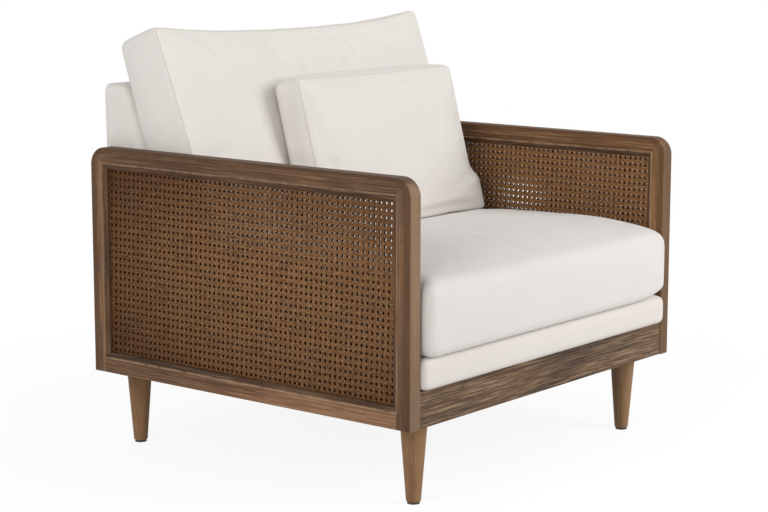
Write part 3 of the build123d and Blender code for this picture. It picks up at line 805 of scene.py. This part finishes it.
deckValues = {
    **plainCushion,
    "half": (0.4056, 0.2824, 0.0295), "aside": -0.0016, "grid": (82, 58, 8),
    "corner": 0.006, "rolls": (0.011, 0.005),
    "bulge": 0.003, "pressure": 2.0, "stiff": 30.0, "bend": 6.0, "cap": 0.0015, "folds": 0.5, "fill": 0.9,
}
backValues = {
    "half": (0.403, 0.25385, 0.05), "grid": (80, 52, 10), "corners": (0.002, 0.012), "rolls": (0.016, 0.007),
    "pressure": 2.0, "stiff": 30.0, "bend": 6.0, "cap": 0.002, "folds": 0.6, "fill": 0.85,
}
# foot: lower edge of the front seam; thick: at the foot and at the top; creases: from, to, width, depth
backCushionValues = {
    "half": (0.4034, 0.2245, 0.0525), "grid": (84, 48, 12), "corner": 0.010, "rolls": (0.003, 0.004),
    "front": 0.019, "rear": 0.010, "bulge": 0.008, "fullness": 0.55, "draw": (0.016, 0.0, 0.001),
    "pressure": 4.0, "stiff": 16.0, "bend": 3.0, "cap": 0.005, "folds": 0.9, "fill": 0.65,
    "foot": (0.0035, 0.109765, 0.4309), "lean": backLean, "thick": (0.142, 0.105), "rearLimit": 0.119,
    "sideways": (0.010, 0.76, 0.17),        # the right end above the arm: how far, how high up, how wide
    "ears": ((1, 0.013, 0.009, 0.08), (-1, 0.003, 0.005, 0.09)),    # side, outward, upward, reach
    "creases": [((0.22, 0.41), (0.34, 0.34), 0.016, 0.0026), ((0.12, 0.41), (0.24, 0.32), 0.02, 0.0018),
                ((-0.36, 0.41), (-0.27, 0.35), 0.016, 0.0022), ((-0.30, 0.41), (-0.16, 0.36), 0.02, 0.0014)],
}
pillowValues = {
    "half": (0.254, 0.1625, 0.030), "grid": (58, 40, 8), "corner": 0.010, "rolls": (0.003, 0.004),
    "front": 0.026, "rear": 0.004, "bulge": 0.014, "fullness": 0.5, "draw": (0.003, 0.0, 0.001),
    "pressure": 4.0, "stiff": 14.0, "bend": 2.0, "cap": 0.005, "folds": 0.9, "fill": 0.6,
    "foot": (0.106, 0.04189, 0.4319), "lean": pillowLean, "thick": (0.072, 0.066), "rearLimit": 0.068,
    "sink": (0.002, 0.004), "sinkFade": 0.12,       # into the seat at the left and the right, fading upwards
    "flare": (0.005, 0.015, 0.064, 0.102, 0.05),    # aside, ahead, full up to, none from, reach
    "lip": (0.0015, -0.5, 0.9, 0.022, 0.007),       # lift, from, over, fade upwards, fade behind
    "arch": (0.0015, 0.152, 0.02, 0.03),            # lift, where, how wide, fade upwards
    "press": (0.0005, 0.02),                        # clearance to the back cushion, fade round the pillow
    "creases": [((0.0, 0.016), (0.24, 0.024), 0.008, 0.0065), ((0.25, 0.088), (0.16, 0.06), 0.010, 0.005),
                ((0.24, 0.12), (0.17, 0.105), 0.010, 0.0028),
                ((-0.22, 0.29), (-0.13, 0.25), 0.014, 0.0022), ((0.22, 0.29), (0.14, 0.24), 0.014, 0.0022)],
}
linenTable = {      # colour, its shade, and how far the cloth leans
    "ivoryLinen": ((0.757, 0.727, 0.702), (0.62, 0.57, 0.5), 0),
    "ivoryLinenDeck": ((0.775, 0.725, 0.682), (0.62, 0.57, 0.5), 0),
    "ivoryLinenBack": ((0.80, 0.767, 0.725), (0.62, 0.57, 0.5), backLean),
    "ivoryLinenPillow": ((0.80, 0.767, 0.725), (0.62, 0.57, 0.5), pillowLean),
    # the seam thread is darker than the linen: painted shade of the seam's fold
    "seamShadeThread": ((0.70, 0.61, 0.53), (0.55, 0.45, 0.37), 0),
}
linenLevel, linenDeck, linenBack, linenPillow, seamShadeThread = [
    makeLinen(name, *look) for name, look in linenTable.items()]


def stuffed(name, values):
    # a cushion lying in its own place, its front panel up
    grid = boxGrid(values["grid"])
    unit, quads = grid[:2]
    points = swell(softBox(unit, values["half"], values["corner"], values["rolls"]), unit, values)
    place = points[:, :2] + np.array((0, values["half"][1]))
    for fold in values.get("creases", ()):
        crease(points, unit, place, *fold)
    return grid, points + wrinkles(name, unit, quads, values)


def finishCushion(name, points, grid, node, body, material):
    unit, quads, panel, _ = grid
    piece = meshObject(name, points, quads)
    panelMap(piece.data, quads, panel, unit)
    finerMesh(piece)
    dress(piece, material)
    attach(piece, body)
    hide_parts(node)
    return piece


# a thread along a seam, darker than the linen, painted shade of the fold
def seamOf(piece, ring, name, body):
    thread = tubeAlong(name, [piece.data.vertices[i].co for i in ring], threadRadius)
    dress(thread, seamShadeThread)
    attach(thread, body)


def levelCushion(name, node, values):
    # a cushion that lies flat on what is below it
    grid, points = stuffed(name, values)
    low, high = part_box(node)
    points[:, :2] += np.array(((low.x + high.x) / 2 + values["aside"], (low.y + high.y) / 2))
    points[:, 2] = np.maximum(points[:, 2] + low.z + values["half"][2], low.z)
    return grid, points, low, high


def pillowSink(along):
    left, right = pillowValues["sink"]
    return left + (right - left) * share(along, -1, 2)


def makeSeat():
    values = seatValues
    grid, points, low, high = levelCushion("seat_pad", "seat_cushion", values)
    # the lower corner at the right front stands clear of the deck
    lift, reach, fade = values["cornerLift"]
    away = np.hypot(points[:, 0] - high.x, points[:, 1] - low.y)
    points[:, 2] += lift * bell(away, reach) * (1 - share(points[:, 2], low.z, fade))
    # fullest towards the front, falling to the front corners
    start, over = values["upper"]
    upper = share(points[:, 2], low.z + start, over)
    amount, start, over = values["fullest"]
    ahead = np.sin(share(points[:, 1], low.y + start, over) * math.pi / 2)
    lost, start, over = values["falls"]
    points[:, 2] += amount * ahead * (1 - lost * share(points[:, 1], start, over)) * upper
    # the loose cushions press its rear part level
    start, over, higher, clear = values["level"]
    rear = share(points[:, 1], armMiddle + start, over)
    points[:, 2] = np.minimum(points[:, 2], restLevel - clear + (1 - rear) * higher)
    # and the pillow sinks in
    besideFade, start, beforeFade = values["dent"]
    foot, half = pillowValues["foot"], pillowValues["half"]
    across = points[:, 0] - foot[0]
    beside = bell(np.maximum(np.abs(across) - half[0], 0), besideFade)
    before = bell(np.maximum(foot[1] - start - points[:, 1], 0), beforeFade)
    points[:, 2] -= pillowSink(across / half[0]) * beside * before * upper
    finishCushion("seat_pad", points, grid, "seat_cushion", "seat_cushion_body",
                  linenLevel)


def makeDeck():
    grid, points, _, high = levelCushion("deck_pad", "seat_deck", deckValues)
    points[:, 2] = np.minimum(points[:, 2], high.z)
    finishCushion("deck_pad", points, grid, "seat_deck", "chair_frame",
                  linenDeck)


def flareCorner(points, values):
    # the lower corner at the right spreads out on the seat
    aside, ahead, full, none, reach = values["flare"]
    low = share(-points[:, 1] - values["half"][1], -none, none - full)
    spread = low ** 2 * (3 - 2 * low) * bell(values["half"][0] - points[:, 0], reach)
    points[:, 0] += aside * spread
    points[:, 2] += ahead * spread


def pulledEars(points, unit, across, up, values):
    # above the arm the right end spreads a little, and the top corners are pulled out into soft ears
    amount, place, wide = values["sideways"]
    height = 2 * values["half"][1]
    across = across + amount * bell(up / height - place, wide) * np.clip(unit[:, 0], 0, 1) ** 3
    for side, outward, upward, reach in values["ears"]:
        away = np.hypot(points[:, 0] - side * values["half"][0], points[:, 1] - values["half"][1])
        across = across + side * outward * bell(away, reach)
        up = up + upward * bell(away, reach)
    return across, up


def liftedSeam(unit, across, up, out, rise, values):
    # towards the right the lower seam stands off the seat and the boxing shows below it
    lift, start, over, fade, fadeBehind = values["lip"]
    near = share(unit[:, 0], start, over) * bell(np.maximum(up - rise, 0), fade)
    behind = np.where(unit[:, 2] == 1, 1.0, bell(np.minimum(out, 0), fadeBehind))
    up = up + lift * near * behind
    lift, place, wide, fade = values["arch"]
    return up + lift * bell(across - place, wide) * bell(np.maximum(up - rise, 0), fade)


def leaningCushion(name, node, body, values, material, pressed=None):
    grid, points = stuffed(name, values)
    unit, rings = grid[0], grid[3]
    _, halfTall, halfDeep = values["half"]
    if "flare" in values:
        flareCorner(points, values)
    # across, up the slope, out of the front seam
    across, up, out = points[:, 0], points[:, 1] + halfTall, points[:, 2] - halfDeep
    if "ears" in values:
        across, up = pulledEars(points, unit, across, up, values)
    low, high = values["thick"]
    thick = low + (high - low) * share(up, 0, 2 * halfTall)
    out = np.maximum(np.where(out < 0, out * thick / (2 * halfDeep), out), -values["rearLimit"])
    sine, cosine = math.sin(values["lean"]), math.cos(values["lean"])
    foot = values["foot"]
    sink = 0
    if "sink" in values:
        sink = pillowSink(unit[:, 0])
        up = up - sink / cosine * (1 - share(up, 0, values["sinkFade"])) ** 2
    # flat where it rests on the seat
    rise = np.maximum(restLevel - sink - foot[2] - out * sine, -sink) / cosine
    up = np.maximum(up, rise)
    if "lip" in values:
        up = liftedSeam(unit, across, up, out, rise, values)
    world = np.stack([foot[0] + across, foot[1] + up * sine - out * cosine,
                      foot[2] + up * cosine + out * sine], 1)
    if pressed:
        world = pressed(world)
    piece = finishCushion(name, world, grid, node, body, material)
    for ring, edge in zip(rings, ("front", "rear")):
        seamOf(piece, ring, f"{name}_{edge}_seam", body)


def pressedByPillow(world):
    # the back cushion gives way behind the pillow
    values = pillowValues
    foot, half = values["foot"], values["half"]
    clear, fade = values["press"]
    rear = foot[1] + (values["rearLimit"] + clear) / math.cos(pillowLean)
    rear = rear + (world[:, 2] - foot[2]) * math.tan(pillowLean)
    inside = half[0] - np.abs(world[:, 0] - foot[0])
    below = foot[2] + 2 * half[1] * math.cos(pillowLean) - world[:, 2]
    mask = share(inside, -fade, fade) * share(below, -fade, fade)
    world[:, 1] += np.maximum(rear - world[:, 1], 0) * mask
    return world


def makeBack():
    # the upholstered wedge behind the cushions, closed at the rear
    low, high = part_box("back_padding")
    grid = boxGrid(backValues["grid"])
    unit, quads = grid[:2]
    corner = np.where(unit[:, 1:2] < 0, *backValues["corners"])  # square below, rounder above
    values = {**backValues, "corner": corner}
    half = values["half"]
    points = softBox(unit, half, corner, values["rolls"]) + wrinkles("back_upholstery", unit, quads, values)
    # across, up, forward; the front leans back as it rises
    up = low.z + points[:, 1] + half[1]
    front = low.y + (up - low.z) * math.tan(backLean)
    forward = points[:, 2] / (2 * half[2]) + 0.5
    deep = np.clip(high.y + (front - high.y) * forward, front, high.y)
    world = np.stack([points[:, 0], deep, np.maximum(up, low.z)], 1)
    piece = finishCushion("back_upholstery", world, grid, "back_padding", "chair_frame",
                          linenBack)
    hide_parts("back_panel")


makeDeck()
makeSeat()
makeBack()
leaningCushion("back_pad", "back_cushion", "back_cushion_body", backCushionValues, linenBack,
               pressedByPillow)
leaningCushion("lumbar_pad", "lumbar_pillow", "pillow_body", pillowValues, linenPillow)
print("upholstery made")


# What is hidden below and inside

def makeSpeckled(name, dark, pale, scale, rough, metal=0.0, stretch=(1, 1, 1)):
    material, tree, shader = newMaterial(name, {"Metallic": metal})
    grain = noise(stretched(objectPlace(tree), stretch), scale, 3, 0.6)
    colour = mixColour(ramp(grain, 0.3, 0.7), (*dark, 1), (*pale, 1))
    setInputs(shader, {"Base Color": colour, "Roughness": times(grain, 0.25, rough),
                       "Normal": bumped(grain, 0.3, 0.0003)})
    return material


steelFinish = makeSpeckled("boltSteel", (0.42, 0.42, 0.43), (0.66, 0.66, 0.67), 400, 0.25, 1.0)
glideFinish = makeSpeckled("glideNylon", (0.02, 0.018, 0.015), (0.05, 0.045, 0.04), 500, 0.5)
strapFinish = makeSpeckled("juteStrap", (0.2, 0.15, 0.1), (0.42, 0.34, 0.24), 300, 0.75, stretch=(1, 6, 3))
coverFinish = makeSpeckled("dustCloth", (0.008, 0.008, 0.008), (0.03, 0.03, 0.03), 700, 0.8)
for name, node in nodes.items():
    if name.endswith("_bolts"):
        dress(node, steelFinish)
    elif name == "leg_glides":
        dress(node, glideFinish)
    elif "webbing" in name:
        dress(node, strapFinish)

dustValues = {
    "cells": 60, "sag": (0.006, 0.7),       # how far, and how flat in the middle
    "ripple": (0.0006, 90, 18, 300),        # height, how often, fade from the edge, none at the very edge
    "below": 0.0006, "legGap": 0.033,       # under the rails, clear of a leg's middle
}


def makeDustCover():
    low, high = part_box("dust_cover")
    cells, (sag, flat) = dustValues["cells"], dustValues["sag"]
    row = cells + 1
    xs, ys = np.linspace(low.x, high.x, row), np.linspace(low.y, high.y, row)
    grid = np.array([(x, y) for y in ys for x in xs])
    u = (grid[:, 0] - low.x) / (high.x - low.x)
    v = (grid[:, 1] - low.y) / (high.y - low.y)
    hang = sag * np.sin(math.pi * u) ** flat * np.sin(math.pi * v) ** flat
    height, often, fade, start = dustValues["ripple"]
    ripple = height * np.sin(u * often) * np.exp(-np.minimum(v, 1 - v) * fade) * np.minimum(1, hang * start)
    points = np.column_stack([grid, high.z - dustValues["below"] - hang + ripple])
    legs = [sum(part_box(name), Vector()) / 2 for name in nodes if name.startswith(("leg_front", "leg_rear"))]
    faces = []
    for j in range(cells):
        for i in range(cells):
            a = j * row + i
            x, y = (grid[a] + grid[a + row + 1]) / 2
            if all(max(abs(x - leg.x), abs(y - leg.y)) > dustValues["legGap"] for leg in legs):
                faces.append((a, a + row, a + row + 1, a + 1))
    cover = meshObject("dust_cloth", points, faces)
    smoothed(cover.data)
    dress(cover, coverFinish)
    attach(cover, "chair_frame")
    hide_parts("dust_cover")


makeDustCover()
print("underside made")


# Stage, light and camera

stageValues = {"floorHalf": 9, "floorGlow": 0.9, "floorTint": 0.13, "floorLit": 0.8, "ambient": 0.4,
               "near": 0.7, "far": 1.5}     # plain white from near to far


def seenDirectly(tree):
    # 1 for what the camera sees, in a reflection and through glass too
    path = addNode(tree, "LightPath").outputs
    seen = plus(path["Is Camera Ray"], path["Is Glossy Ray"], clamp=True)
    return plus(seen, path["Is Transmission Ray"], clamp=True)


def emptyTree(owner):
    owner.use_nodes = True
    owner.node_tree.nodes.clear()
    return owner.node_tree


def addShader(tree, kind, *given, **labelled):
    return addNode(tree, kind, given or labelled).outputs[0]


def grey(level):
    return (level, level, level, 1)


def makeFloor():
    half = stageValues["floorHalf"]
    corners = [(-half, -half, 0), (half, -half, 0), (half, half, 0), (-half, half, 0)]
    floor = meshObject("floor", corners, [(0, 1, 2, 3)])
    material = bpy.data.materials.new("paleFloor")
    tree = emptyTree(material)
    plain = addShader(tree, "BsdfDiffuse", Color=grey(stageValues["floorLit"]))
    faint = addShader(tree, "BsdfDiffuse", Color=grey(stageValues["floorTint"]))
    glow = addShader(tree, "Emission", Strength=stageValues["floorGlow"])
    both = addShader(tree, "AddShader", glow, faint)
    # away from the chair the floor turns plain white
    away = vectorMath("LENGTH", geometry(tree)["Position"])["Value"]
    far = ramp(away, stageValues["near"], stageValues["far"])
    faded = addShader(tree, "MixShader", far, both, addShader(tree, "Emission"))
    shown = addShader(tree, "MixShader", seenDirectly(tree), plain, faded)
    addNode(tree, "OutputMaterial", {"Surface": shown})
    dress(floor, material)


def makeWorld():
    scene.world = scene.world or bpy.data.worlds.new("studio")
    tree = emptyTree(scene.world)
    given = {"Value": seenDirectly(tree), "To Min": stageValues["ambient"], "To Max": 1.0}
    level = addNode(tree, "MapRange", given).outputs["Result"]
    back = addShader(tree, "Background", Color=grey(1), Strength=level)
    addNode(tree, "OutputWorld", {"Surface": back})


lamps = {
    "key": dict(place=(1.5, -3.4, 2.0), aim=(0, -0.1, 0.4), size=2.2, watts=92),
    "fill": dict(place=(-3.6, -0.4, 1.7), aim=(0, 0, 0.4), size=2.4, watts=58),
    "top": dict(place=(0.3, 0.5, 3.6), aim=(0, 0, 0.4), size=2.6, watts=7),
}


def makeLamps():
    for name, values in lamps.items():
        data = bpy.data.lights.new(name, "AREA")
        setAll(data, size=values["size"], energy=values["watts"])
        aim = Vector(values["aim"]) - Vector(values["place"])
        addToScene(name, data, values["place"], aim.to_track_quat("-Z", "Y").to_euler())


# from the middle of the arms; turned in degrees
cameraValues = {"place": (-3.1966, -2.5671, 1.0645), "turn": (80.49, -0.05, -51.13),
                "lens": 95.1, "sensor": 36.0}


def makeCamera():
    data = bpy.data.cameras.new("camera")
    setAll(data, lens=cameraValues["lens"], sensor_width=cameraValues["sensor"])
    place = Vector(cameraValues["place"]) + Vector((0, armMiddle, 0))
    scene.camera = addToScene("camera", data, place, [math.radians(a) for a in cameraValues["turn"]])


makeFloor()
makeWorld()
makeLamps()
makeCamera()
scene.view_settings.view_transform = "Standard"
print("stage, lamps and camera ready")
